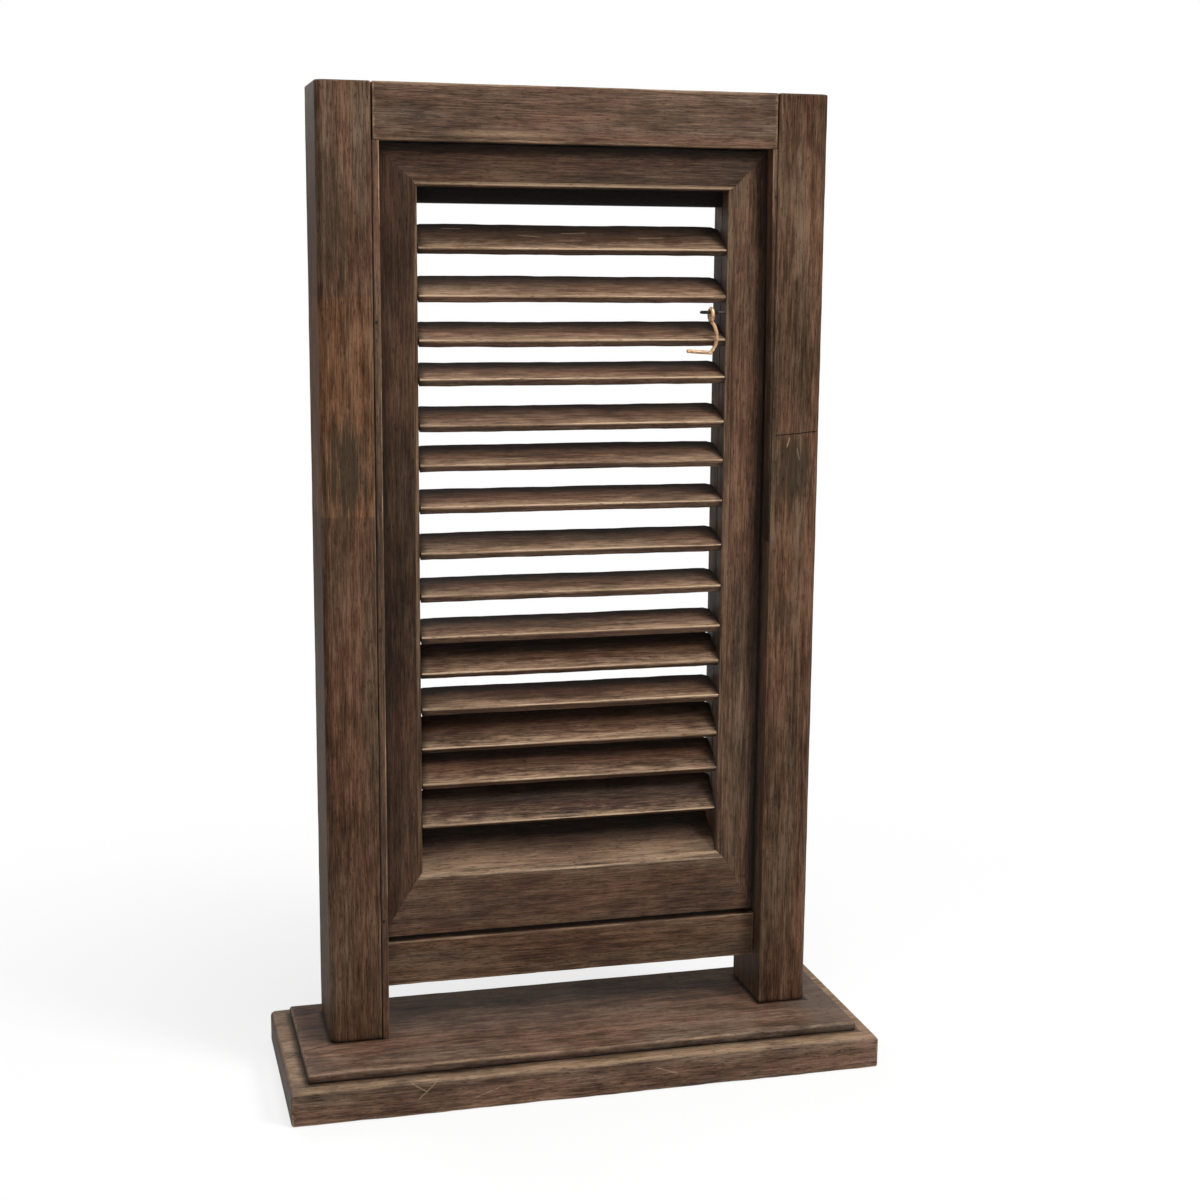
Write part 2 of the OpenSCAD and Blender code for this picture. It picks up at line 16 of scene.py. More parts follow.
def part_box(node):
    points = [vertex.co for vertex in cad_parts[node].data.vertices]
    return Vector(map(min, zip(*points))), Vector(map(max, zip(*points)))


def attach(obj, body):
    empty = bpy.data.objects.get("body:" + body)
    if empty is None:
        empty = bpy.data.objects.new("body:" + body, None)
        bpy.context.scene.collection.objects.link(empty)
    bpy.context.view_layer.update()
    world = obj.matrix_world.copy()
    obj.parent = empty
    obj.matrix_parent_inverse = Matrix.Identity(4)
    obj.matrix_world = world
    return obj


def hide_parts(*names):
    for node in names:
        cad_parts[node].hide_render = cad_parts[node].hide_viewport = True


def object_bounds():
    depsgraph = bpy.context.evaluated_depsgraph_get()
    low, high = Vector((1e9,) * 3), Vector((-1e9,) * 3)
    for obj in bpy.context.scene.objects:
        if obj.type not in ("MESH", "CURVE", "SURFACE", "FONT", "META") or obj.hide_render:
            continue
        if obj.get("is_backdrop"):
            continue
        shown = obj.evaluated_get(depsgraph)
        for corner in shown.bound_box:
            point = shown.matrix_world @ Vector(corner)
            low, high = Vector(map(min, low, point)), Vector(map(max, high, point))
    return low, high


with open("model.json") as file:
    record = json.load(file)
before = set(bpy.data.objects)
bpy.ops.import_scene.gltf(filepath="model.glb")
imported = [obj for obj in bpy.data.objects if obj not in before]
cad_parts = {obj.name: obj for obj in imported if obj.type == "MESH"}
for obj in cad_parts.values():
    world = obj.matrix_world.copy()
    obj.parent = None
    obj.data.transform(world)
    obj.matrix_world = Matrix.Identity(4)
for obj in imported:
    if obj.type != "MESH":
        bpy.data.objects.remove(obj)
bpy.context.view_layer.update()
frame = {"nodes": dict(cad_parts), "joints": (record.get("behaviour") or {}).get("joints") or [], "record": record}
nodes = frame["nodes"]
MM = 0.001

# %% [markdown]
# ## The camera
# The view was worked out from the corners of the frame: a camera about chest high,
# a little left of the middle, turned right and tipped down by ten degrees.
# Yaw, pitch and roll are kept as plain angles, and turned into a matrix whose columns
# are the camera's right, up and backward directions.

# %% Camera
PHOTO_SIDE = 1200
FOCAL_PX = 1917.7
EYE = Vector((-0.4490, -1.8111, 0.8099))
YAW, PITCH, ROLL = (math.radians(a) for a in (-14.747, -10.162, 0.466))
SENSOR_MM = 36.0

forward = Vector((-math.sin(YAW) * math.cos(PITCH), math.cos(YAW) * math.cos(PITCH), math.sin(PITCH)))
level = Vector((math.cos(YAW), math.sin(YAW), 0.0))
upright = level.cross(forward)
right = math.cos(ROLL) * level + math.sin(ROLL) * upright
up = -math.sin(ROLL) * level + math.cos(ROLL) * upright

lens = bpy.data.cameras.new("view")
lens.sensor_fit = "HORIZONTAL"
lens.sensor_width = SENSOR_MM
lens.lens = FOCAL_PX / PHOTO_SIDE * SENSOR_MM
camera = bpy.data.objects.new("view", lens)
camera.matrix_world = Matrix((right, up, -forward)).transposed().to_4x4()
camera.location = EYE
bpy.context.scene.collection.objects.link(camera)
bpy.context.scene.camera = camera
bpy.context.scene.view_settings.view_transform = "Standard"
print("lens", round(lens.lens, 2), "mm")

# %% [markdown]
# ## Writing shaders as sums
# A node tree is easier to read as arithmetic. `Wire` wraps one output socket, and its
# operators add Math nodes; every other node comes from `Bench.add`, which takes the node's
# type, its settings and its inputs.

# %% A small language for node trees
class Wire:
    """One output socket, with arithmetic that adds Math nodes."""

    def __init__(self, bench, socket):
        self.bench, self.socket = bench, socket

    def math(self, operation, *others):
        return self.bench.add("ShaderNodeMath", {"operation": operation}, dict(enumerate((self, *others))))

    def __add__(self, other): return self.math("ADD", other)
    def __radd__(self, other): return self.math("ADD", other)
    def __sub__(self, other): return self.math("SUBTRACT", other)
    def __rsub__(self, other): return self.math("MULTIPLY", -1.0) + other
    def __mul__(self, other): return self.math("MULTIPLY", other)
    def __truediv__(self, other): return self.math("DIVIDE", other)
    def __abs__(self): return self.math("ABSOLUTE")

    def least(self, other): return self.math("MINIMUM", other)
    def most(self, other): return self.math("MAXIMUM", other)

    def step(self, start, end):
        """0 at start, 1 at end, smooth between them; start may be the larger."""
        if start > end:
            return 1.0 - self.step(end, start)
        settings = {"interpolation_type": "SMOOTHSTEP"}
        sockets = {"Value": self, "From Min": start, "From Max": end, "To Min": 0.0, "To Max": 1.0}
        return self.bench.add("ShaderNodeMapRange", settings, sockets, "Result")


class Bench:
    """A new material with its shader, and one method that adds any node to it."""

    def __init__(self, name):
        self.material = bpy.data.materials.new(name)
        self.material.use_nodes = True
        self.tree = self.material.node_tree
        self.shader = self.tree.nodes["Principled BSDF"]

    def add(self, kind, settings=None, sockets=None, output=0):
        node = self.tree.nodes.new(kind)
        for key, value in (settings or {}).items():
            if key == "stops":
                while len(node.color_ramp.elements) < len(value):
                    node.color_ramp.elements.new(0.5)
                for element, (place, colour) in zip(node.color_ramp.elements, value):
                    element.position = place
                    element.color = (*colour, 1.0)
            else:
                setattr(node, key, value)
        for key, value in (sockets or {}).items():
            self.feed(node.inputs[key], value)
        return Wire(self, node.outputs[output])

    def feed(self, socket, value):
        if isinstance(value, Wire):
            self.tree.links.new(value.socket, socket)
        elif hasattr(value, "__len__") and len(value) == 3 and socket.type == "RGBA":
            socket.default_value = (*value, 1.0)
        else:
            socket.default_value = value

    def place(self):
        return self.add("ShaderNodeTexCoord", output="Object")

    def turned(self, vector, centre, angle):
        """vector measured from centre, turned back by angle about X."""
        moved = self.add("ShaderNodeVectorMath", {"operation": "SUBTRACT"}, {0: vector, 1: centre})
        settings = {"vector_type": "POINT"}
        return self.add("ShaderNodeMapping", settings, {"Vector": moved, "Rotation": (-angle, 0.0, 0.0)})

    def split(self, vector):
        node = self.tree.nodes.new("ShaderNodeSeparateXYZ")
        self.tree.links.new(vector.socket, node.inputs[0])
        return [Wire(self, s) for s in node.outputs]

    def stretch(self, vector, scale, shift):
        sockets = {"Vector": vector, "Scale": scale, "Location": shift}
        return self.add("ShaderNodeMapping", {"vector_type": "POINT"}, sockets)

    def noise(self, vector, scale, detail, rough):
        sockets = {"Vector": vector, "Scale": scale, "Detail": detail, "Roughness": rough}
        return self.add("ShaderNodeTexNoise", {"noise_dimensions": "3D"}, sockets)

    def mix(self, amount, first, second, blend="MIX"):
        node = self.tree.nodes.new("ShaderNodeMix")
        node.data_type, node.blend_type = "RGBA", blend
        for key, value in (("Factor_Float", amount), ("A_Color", first), ("B_Color", second)):
            socket = next(s for s in node.inputs if s.identifier == key)
            self.feed(socket, value)
        return Wire(self, next(s for s in node.outputs if s.identifier == "Result_Color"))

    def ramp(self, value, *stops):
        return self.add("ShaderNodeValToRGB", {"stops": stops}, {0: value})

    def finish(self, colour, rough, height=None, relief=0.0, metal=0.0, soften=0.0):
        """Joins the shader up; soften is the radius that sharp edges seem to have."""
        self.feed(self.shader.inputs["Base Color"], colour)
        self.feed(self.shader.inputs["Roughness"], rough)
        self.feed(self.shader.inputs["Metallic"], metal)
        if height is not None:
            sockets = {"Height": height, "Distance": relief, "Strength": 1.0}
            if soften:
                sockets["Normal"] = self.add("ShaderNodeBevel", {"samples": 6}, {"Radius": soften})
            self.feed(self.shader.inputs["Normal"], self.add("ShaderNodeBump", {}, sockets))
        return self.material


print("shader bench ready")

# %% [markdown]
# ## Boards with worn edges
# Planed boards that have been handled for years have no sharp edges: each arris is rounded, a
# little more here and less there, and no face is quite true. A Bevel modifier rounds every edge
# by the same amount, so these boards are worked out as arrays instead: a section is carried
# along the board, and at each step its corners wander inwards by a fraction of a millimetre.

# %% Carrying a worn section along a board
def wander(along, seed, count, pitch):
    """count smooth curves over along, each between 0 and 1: a weighted sum of four sines whose
    wavelengths fall from pitch, with seeded phases."""
    rng = np.random.default_rng(seed)
    waves = pitch / np.array([1.0, 2.1, 4.3, 8.9])
    weight = np.array([0.42, 0.28, 0.19, 0.11])
    phase = rng.uniform(0.0, 2 * np.pi, (count, 4))
    swing = np.sin(2 * np.pi * along[:, None, None] / waves + phase)
    return 0.5 + 0.5 * (swing * weight).sum(axis=2)


def rounded(corners, radius, steps=5, hold=1.2 * MM):
    """Corners P become the curve (1-t)^2 A + 2t(1-t) P + t^2 B, where A and B lie radius back
    along the two sides. One more point, hold further back on each side, keeps the flats flat."""
    back, on = (np.roll(corners, turn, axis=1) - corners for turn in (1, -1))
    back_length, on_length = (np.linalg.norm(side, axis=2, keepdims=True) for side in (back, on))
    back, on = back / back_length, on / on_length
    room = np.minimum(back_length, on_length)
    radius = np.minimum(radius[..., None], 0.40 * room)
    reach = np.minimum(radius + hold, 0.48 * room)
    t = np.linspace(0.0, 1.0, steps)[:, None]
    start, middle, end = (c[:, :, None] for c in (corners + back * radius, corners, corners + on * radius))
    curve = (1 - t) ** 2 * start + 2 * t * (1 - t) * middle + t ** 2 * end
    sides = [(corners + side * reach)[:, :, None] for side in (back, on)]
    return np.concatenate([sides[0], curve, sides[1]], axis=2).reshape(len(corners), -1, 2)


def stations(length, rounding, pitch):
    """Places along a board, and how far the outline is drawn in at each: six on a quarter circle
    at either end, d = r(1 - cos a) with inset r(1 - sin a), and one every pitch between."""
    turn = np.linspace(0.0, np.pi / 2, 6)
    near, drawn_in = rounding * (1 - np.cos(turn)), rounding * (1 - np.sin(turn))
    middle = np.linspace(1.8 * rounding, length - 1.8 * rounding, int(length / pitch) + 2)
    places = np.concatenate([near, middle, length - near[::-1]])
    return places, np.concatenate([drawn_in, 0 * middle, drawn_in[::-1]])


def worn_board(section, axis, start, end, rounding, radius, seed, wobble=0.3 * MM, pitch=9 * MM):
    """Rings of a section carried from start to end along an axis. The section is a list of
    corners in the other two axes, or a function of the places that gives one list for each.
    Corner = middle + (corner - middle) * (1 - (inset + wander) / half width)."""
    places, inset = stations(end - start, rounding, pitch)
    section = np.asarray(section(places) if callable(section) else [section] * len(places))
    low, high = section.min(axis=1, keepdims=True), section.max(axis=1, keepdims=True)
    shrink = inset[:, None] + wobble * wander(places, seed, section.shape[1], 190 * MM)
    corners = (low + high) / 2 + (section - (low + high) / 2) * (1 - shrink[..., None] / ((high - low) / 2))
    outline = rounded(corners, radius * (0.5 + wander(places, seed + 1, section.shape[1], 60 * MM)))
    rings = np.empty((*outline.shape[:2], 3))
    rings[..., axis] = (start + places)[:, None]
    rings[..., [i for i in range(3) if i != axis]] = outline
    return rings


def skin(rings):
    """Quads over M rings of K points and one face at each end, wound to face outwards."""
    at = np.arange(rings.shape[0] * rings.shape[1]).reshape(rings.shape[:2])
    near, far = at[:-1], at[1:]
    quads = np.stack([near, np.roll(near, -1, 1), np.roll(far, -1, 1), far], axis=-1).reshape(-1, 4)
    points = rings.reshape(-1, 3)
    a, b, c, d = (points[quads[:, i]] for i in range(4))
    outward = ((a + c) / 2 - points.mean(axis=0)) * np.cross(c - a, d - b)
    ends = np.stack([at[0][::-1], at[-1]])
    if outward.sum() < 0:
        quads, ends = quads[:, ::-1], ends[:, ::-1]
    return points, quads, ends


body_of = {node: body for body, held in frame["record"]["behaviour"]["bodies"].items() for node in held}


def stand_in(node, shells, material):
    """One smooth piece from closed shells, which rides where its CAD node does and replaces it."""
    points, faces, used = [], [], 0
    for rings in shells:
        shell_points, quads, ends = skin(rings)
        points.append(shell_points)
        faces += (quads + used).tolist() + (ends + used).tolist()
        used += len(shell_points)
    mesh = bpy.data.meshes.new(node + "_worn")
    mesh.from_pydata(np.concatenate(points).tolist(), [], faces)
    mesh.polygons.foreach_set("use_smooth", np.ones(len(mesh.polygons), dtype=bool))
    mesh.materials.append(material)
    piece = bpy.data.objects.new(node + "_worn", mesh)
    bpy.context.scene.collection.objects.link(piece)
    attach(piece, body_of[node])
    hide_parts(node)
    return len(mesh.polygons)


print("board makers ready; bodies:", len(set(body_of.values())))

# %% [markdown]
# ## The stain
# The wood is fine-grained, under a thin dark walnut stain that is rubbed through where hands and
# cloths reach; painted shade takes it nearly to black in the corners and recesses. It could be one
# painted picture per board, but noise drawn out along the grain works at any distance and runs
# through a board as grain does. Six scales are mixed: fibres, growth streaks, mottles, broad patches
# where the stain took unevenly, a slow drift between warm and olive, and short dark pores.

# %% Stained wood
# darkest stain tone and dark end grain; also painted shade on the back of the base top and the slats' front faces
DARK_STAIN_AND_SHADE = (0.026, 0.0135, 0.0078)
STAIN_MID = (0.0755, 0.0416, 0.0258)
STAIN_LIGHT = (0.153, 0.0918, 0.0600)
STAIN_WORN = (0.420, 0.2820, 0.1780)
BARE_DARK = (0.150, 0.0900, 0.0520)
# painted shade, near black, for corners, recesses and under parts; also the colour of cracks and bead joints
SHADE_CRACK_AND_JOINT = (0.007, 0.0050, 0.0040)
DULL_OLIVE = (0.036, 0.0270, 0.0170)
# pale grey for painted sheen and dust on the base top's right end
SHEEN_AND_DUST = (0.230, 0.1900, 0.1600)
# painted highlight along arrises of the leaf's top and bottom members and the slats
EDGE_HIGHLIGHT = (0.520, 0.3700, 0.2450)
WARM, OLIVE = (1.09, 0.97, 0.90), (0.94, 1.02, 1.00)
GRAIN_AXES = {"x": 0, "z": 2}
# For each noise: length along the grain and breadth across it in mm, seed offset, detail, roughness
FIBRE = (30, 1.3, 0.0, 5.0, 0.75)
STREAK = (150, 5.5, 3.1, 5.0, 0.62)
MOTTLE = (26, 7, 17.3, 4.0, 0.65)
PATCH = (110, 40, 7.7, 4.0, 0.60)
DRIFT = (240, 22, 13.9, 2.0, 0.50)
PORE_LENGTH, PORE_BREADTH, PORE_REST = 8, 1.1, (11.3, 2.0, 0.50)


def grey(value):
    return (value, value, value)


class Stain:
    """The masks and noises of one board, read in its own axes: x, y and z from its middle,
    turned back by its tilt about X. low and high are the corners of the untilted board; coarse
    widens the grain of a board that was sawn flat."""

    def __init__(self, name, low, high, grain, seed=0.0, tilt=0.0, coarse=1.0):
        self.bench = bench = Bench(name)
        self.half = (Vector(high) - Vector(low)) / 2
        place = bench.place()
        self.local = bench.turned(place, (Vector(low) + Vector(high)) / 2, tilt)
        self.x, self.y, self.z = bench.split(self.local)
        self.at_x, self.at_y, self.at_z = bench.split(place)
        self.grain, self.seed, self.coarse = GRAIN_AXES[grain], seed, coarse
        self.fibre, self.streak, self.mottle = (self.drawn(*size) for size in (FIBRE, STREAK, MOTTLE))
        self.patch, self.drift = self.drawn(*PATCH), self.drawn(*DRIFT)
        self.pore = self.drawn(PORE_LENGTH, PORE_BREADTH / coarse, *PORE_REST)
        # pale bare wood: wear on rubbed edges, and painted light on the lower board's ledge
        self.bare = bench.ramp(self.fibre * 0.6 + self.streak * 0.4, (0.38, BARE_DARK), (0.62, STAIN_WORN))
        self.gaps = [self.half[i] - abs(axis) for i, axis in enumerate((self.x, self.y, self.z))]

    def drawn(self, length, breadth, offset, detail, rough):
        """Noise whose blots are length along the grain and breadth across it, in mm."""
        scale = [1.0 / (breadth * self.coarse * MM)] * 3
        scale[self.grain] = 1.0 / (length * MM)
        shift = (self.seed + offset, self.seed * 1.7 + offset, self.seed * 0.6 - offset)
        return self.bench.noise(self.bench.stretch(self.local, scale, shift), 1.0, detail, rough)

    def tinted(self, colour, tint):
        return self.bench.mix(1.0, colour, tint, "MULTIPLY")

    def coat(self, tint):
        """Depth of stain: 0.5 is the middle tone, and each noise lifts or lowers it."""
        depth = (self.patch - 0.5) * 0.9 + (self.streak - 0.5) * 0.8 + (self.mottle - 0.5) * 0.6
        depth = depth + (self.fibre - 0.5) * 1.9 + 0.5
        bench = self.bench
        colour = bench.ramp(depth, (0.14, DARK_STAIN_AND_SHADE), (0.50, STAIN_MID), (0.88, STAIN_LIGHT))
        colour = self.tinted(colour, bench.ramp(self.drift, (0.36, OLIVE), (0.62, WARM)))
        return self.tinted(colour, tint)

    def front_face(self, low, far=9, near=2):
        """1 on the front of a board whose lower corner is low, 0 from far mm behind it."""
        return self.at_y.step(float(low.y) + far * MM, float(low.y) + near * MM)

    def arris(self):
        """Distance to the nearest edge of the box: the middle one of the three face distances."""
        a, b, c = self.gaps
        return a.least(b).most(a.most(b).least(c))

    def rub(self, colour, distance, reach, amount):
        """Bare wood within reach of an edge, broken by the streaks and by where hands have been."""
        ragged = distance + (self.streak - 0.5) * (4.5 * reach * MM) + (self.pore - 0.5) * (2.5 * MM)
        handled = self.patch.step(0.38, 0.60) * 0.8 + 0.2
        mask = ragged.step(reach * MM, 0.25 * reach * MM) * handled * amount
        return self.bench.mix(mask, colour, self.bare)

    def pool(self, colour, distance, reach, amount):
        """Near black within reach of a corner, fading out over it: painted shade in corners, recesses and under
        parts, and the joint line beside each bead.
        """
        ragged = distance + (self.streak - 0.5) * (0.5 * reach * MM)
        return self.bench.mix(ragged.step(reach * MM, 0.0) * amount, colour, SHADE_CRACK_AND_JOINT)

    def zone(self, colour, along, start, end, tint):
        """A stretch of the board, start to end in mm, that took the stain differently."""
        ragged = along + (self.fibre - 0.5) * (5 * MM)
        begun = ragged.step((start - 1.5) * MM, (start + 1.5) * MM)
        ended = ragged.step((end + 1.5) * MM, (end - 1.5) * MM)
        return self.bench.mix(begun * ended, colour, self.tinted(colour, tint))

    def smudge(self, colour, u, v, centre, radii, amount, shade=DULL_OLIVE):
        """A ragged oval: 1 inside sqrt((u/ru)^2 + (v/rv)^2) = 1, fading past it."""
        a, b = ((w - c * MM) / (r * MM) for w, c, r in zip((u, v), centre, radii))
        spread = (a * a + b * b).math("SQRT") + (self.streak - 0.5) * 1.6 + (self.patch - 0.5)
        spread = spread + (self.fibre - 0.5) * 1.8
        return self.bench.mix(spread.step(1.25, 0.45) * amount, colour, shade)

    def scratch(self, colour, u, v, start, end, width, amount, shade=STAIN_WORN):
        """A thin line between two points in mm: its distance is |cross product| / length."""
        run = np.subtract(end, start)
        length = float(np.hypot(*run))
        du, dv = (float(r) / length for r in run)
        a, b = u - float(start[0]) * MM, v - float(start[1]) * MM
        along, off = a * du + b * dv, abs(a * dv - b * du + (self.patch - 0.5) * (3 * MM))
        mask = (off + (self.fibre - 0.5) * (0.8 * MM)).step(width * MM, 0.3 * width * MM)
        mask = mask * along.step(-1 * MM, 2 * MM) * along.step((length + 1) * MM, (length - 2) * MM)
        return self.bench.mix(mask * amount, colour, shade)

    def finish(self, colour, soften=0.0, sheen=0.12):
        """Pores and dark end grain over the colour, and a relief that follows the grain."""
        colour = self.bench.mix(self.pore.step(0.43, 0.31) * 0.85, colour, self.tinted(colour, grey(0.35)))
        end_grain = self.gaps[self.grain].step(0.8 * MM, 0.2 * MM)
        colour = self.bench.mix(end_grain * 0.5, colour, DARK_STAIN_AND_SHADE)
        rough = 0.50 + (self.patch - 0.5) * 0.25 + (self.fibre - 0.5) * 0.30
        height = self.fibre * 0.8 + self.streak * 0.4 + self.pore * 0.6
        self.bench.shader.inputs["Specular IOR Level"].default_value = sheen
        return self.bench.finish(colour, rough, height, 0.6 * MM, soften=soften)


def put_on(material, *names):
    for name in names:
        slots = nodes[name].data.materials
        slots.clear()
        slots.append(material)


print("stain colours:", DARK_STAIN_AND_SHADE, "to", STAIN_WORN)

# %% [markdown]
# ## The base
# Two boards, the upper one a step in from the lower, with bevelled top edges. They are rubbed
# pale along every edge that a foot or a broom meets. The upper top is lighter and greyer with dust
# and painted light, with painted sheen and dust at its right end; painted light brightens the lower
# board's ledge, and painted shade darkens the lower board under the step, the foot of the upper
# board's front, the top towards the back and round the posts' feet.

# %% Base boards
LOWER_BEVEL, UPPER_BEVEL, LEAST_RISE = 4 * MM, 2 * MM, 0.3 * MM
# the upper board's tint is lighter and greyer than the lower's: dust, and painted light on its up-facing top
LOWER_TINT, UPPER_TINT = (1.24, 1.36, 1.46), (1.73, 1.88, 2.08)
LEDGE_FOOT, LEDGE_TOP, LEDGE_FACE = 29.5 * MM, 33 * MM, 33.8 * MM
# Marks from one point to another in mm: on the front face, then one dark crack on each board's top
FRONT_SCRATCHES = (((-176, 16), (-158, 32)), ((-182, 33), (-166, 23)),
                   ((-120, 12), (-96, 20)), ((60, 24), (84, 15)))
LOWER_CRACK, UPPER_CRACK = ((-293, -22), (-277, -12)), ((-276, -31), (-249, -22))


def bevelled(low, high, bevel):
    """Section of a board with a bevel round its top: within the bevel's width of either end, the
    top is lower by what is left of it, so that the ends slope as the sides do."""
    length = high.x - low.x

    def section(places):
        rise = np.clip(np.minimum(places, length - places), LEAST_RISE, bevel)
        same = np.ones_like(rise)
        y = [low.y * same, low.y * same, low.y + rise, high.y - rise, high.y * same, high.y * same]
        z = [low.z * same, (high.z - bevel) * same, high.z - bevel + rise]
        return np.stack([np.stack(y, axis=1), np.stack(z + z[::-1], axis=1)], axis=2)
    return section


posts = {side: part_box("post_" + side) for side in ("left", "right")}
base_low, base_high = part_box("base_lower")
lower = Stain("base_lower_stain", base_low, base_high, "x", seed=1.3, coarse=1.5)
colour = lower.coat(LOWER_TINT)
# painted light: the up-facing ledge of the lower board is lightened in patches
lit_ledge = lower.at_z.step(LEDGE_FOOT, LEDGE_TOP) * (lower.patch + lower.mottle * 0.5).step(0.38, 0.82)
colour = lower.bench.mix(lit_ledge * 0.9, colour, lower.bare)
colour = lower.rub(colour, lower.arris(), 2.6, 0.9)
step_low, step_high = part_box("base_upper")
# painted shade on the lower board's top beside the upper board's step
beside = (abs(lower.at_x) - step_high.x).most(abs(lower.at_y) - step_high.y)
shade_under_step = lower.at_z.step(LEDGE_TOP, LEDGE_FACE) * beside.step(6 * MM, 1 * MM)
colour = lower.bench.mix(shade_under_step * 0.7, colour, SHADE_CRACK_AND_JOINT)
front = lower.front_face(base_low, 6, 1)
for start, end in FRONT_SCRATCHES:
    colour = lower.scratch(colour, lower.at_x, lower.at_z, start, end, 0.9, front * 0.35)
colour = lower.scratch(colour, lower.at_x, lower.at_y, *LOWER_CRACK, 1.0, 0.9, SHADE_CRACK_AND_JOINT)
rings = worn_board(bevelled(base_low, base_high, LOWER_BEVEL), 0, base_low.x, base_high.x,
                   2.4 * MM, 1.9 * MM, 11, 0.6 * MM)
made = stand_in("base_lower", [rings], lower.finish(colour))

upper = Stain("base_upper_stain", step_low, step_high, "x", seed=5.0, coarse=2.5)
colour = upper.coat(UPPER_TINT)
shaded = (upper.at_y + (upper.patch - 0.5) * (50 * MM)).step(-75 * MM, 10 * MM)
colour = upper.bench.mix(shaded * 0.40, colour, DARK_STAIN_AND_SHADE)
# painted shade at the foot of the upper board's front face
colour = upper.pool(colour, upper.at_z - float(step_low.z), 10, 0.85)
top_arris = (upper.half.z - upper.z).most(upper.gaps[0].least(upper.gaps[1]))
colour = upper.rub(colour, top_arris, 2.2, 1.0)
# painted sheen and dust: a pale grey patch on the right end of the top
colour = upper.smudge(colour, upper.at_x, upper.at_y, (268, -10), (40, 90), 0.30, SHEEN_AND_DUST)
# painted shade round the posts' feet
for low, high in posts.values():
    middle, half = (low + high) / 2, (high - low) / 2
    off_x = abs(upper.at_x - float(middle.x)) - float(half.x)
    off_y = abs(upper.at_y - float(middle.y)) - float(half.y)
    colour = upper.pool(colour, off_x.most(off_y), 5, 0.8)
colour = upper.scratch(colour, upper.at_x, upper.at_y, *UPPER_CRACK, 1.0, 0.9, SHADE_CRACK_AND_JOINT)
rings = worn_board(bevelled(step_low, step_high, UPPER_BEVEL), 0, step_low.x, step_high.x,
                   1.6 * MM, 1.2 * MM, 12, 0.35 * MM)
made += stand_in("base_upper", [rings], upper.finish(colour))
print("base faces:", made, "base in mm:", [round(v * 1000, 1) for v in base_high - base_low])

# %% [markdown]
# ## Posts and rails
# The posts are square with a wider bevel on the outer front edge, and the rails stand between
# them on tenons. The left post is a length of mixed wood: a grey stretch at the top, a warm one
# below it with a dull patch, then the common brown. The right one has a check across its face.

# %% Posts and rails
POST_BEVEL = 5 * MM
POST_DEPTHS = {"left": 0.95, "right": 1.04}
# Stretches of the left post, from and to in mm above the floor, and each one's tint
LEFT_ZONES = ((771, 990, (1.16, 1.20, 1.26)), (566, 771, (1.42, 1.34, 1.22)))
# Dull patches in mm: middle, radii and strength
POST_SMUDGES = {"left": (((-222, 612), (22, 48), 0.8), ((-236, 860), (15, 70), 0.45)),
                "right": (((222, 602), (26, 34), 0.65), ((212, 452), (16, 22), 0.5))}
RIGHT_CHECK = ((200, 636.5), (246, 640))
RIGHT_SCRATCHES = (((216, 634.5), (213, 624), 0.6), ((224, 624), (227, 612), 0.3))
made = 0
for side, sign in (("left", -1), ("right", 1)):
    low, high = posts[side]
    outer, inner = (low.x, high.x) if sign < 0 else (high.x, low.x)
    section = [(inner, low.y), (outer - sign * POST_BEVEL, low.y), (outer, low.y + POST_BEVEL),
               (outer, high.y), (inner, high.y)]
    post = Stain(f"post_{side}_stain", low, high, "z", seed=9.0 - 4.4 * sign)
    colour = post.coat(grey(POST_DEPTHS[side]))
    if side == "left":
        for start, end, tint in LEFT_ZONES:
            colour = post.zone(colour, post.at_z, start, end, tint)
    for centre, radii, amount in POST_SMUDGES[side]:
        colour = post.smudge(colour, post.at_x, post.at_z, centre, radii, amount)
    if side == "right":
        front = post.front_face(low)
        colour = post.scratch(colour, post.at_x, post.at_z, *RIGHT_CHECK, 0.9, front * 0.95, SHADE_CRACK_AND_JOINT)
        for start, end, amount in RIGHT_SCRATCHES:
            colour = post.scratch(colour, post.at_x, post.at_z, start, end, 0.8, front * amount)
    colour = post.rub(colour, post.arris(), 1.5, 0.40)
    # painted shade at the post's foot
    colour = post.pool(colour, post.at_z - float(low.z), 5, 0.7)
    rings = worn_board(section, 2, low.z, high.z, 1.5 * MM, 1.5 * MM, 21 + sign, 0.25 * MM)
    made += stand_in("post_" + side, [rings], post.finish(colour, sheen=0.04))

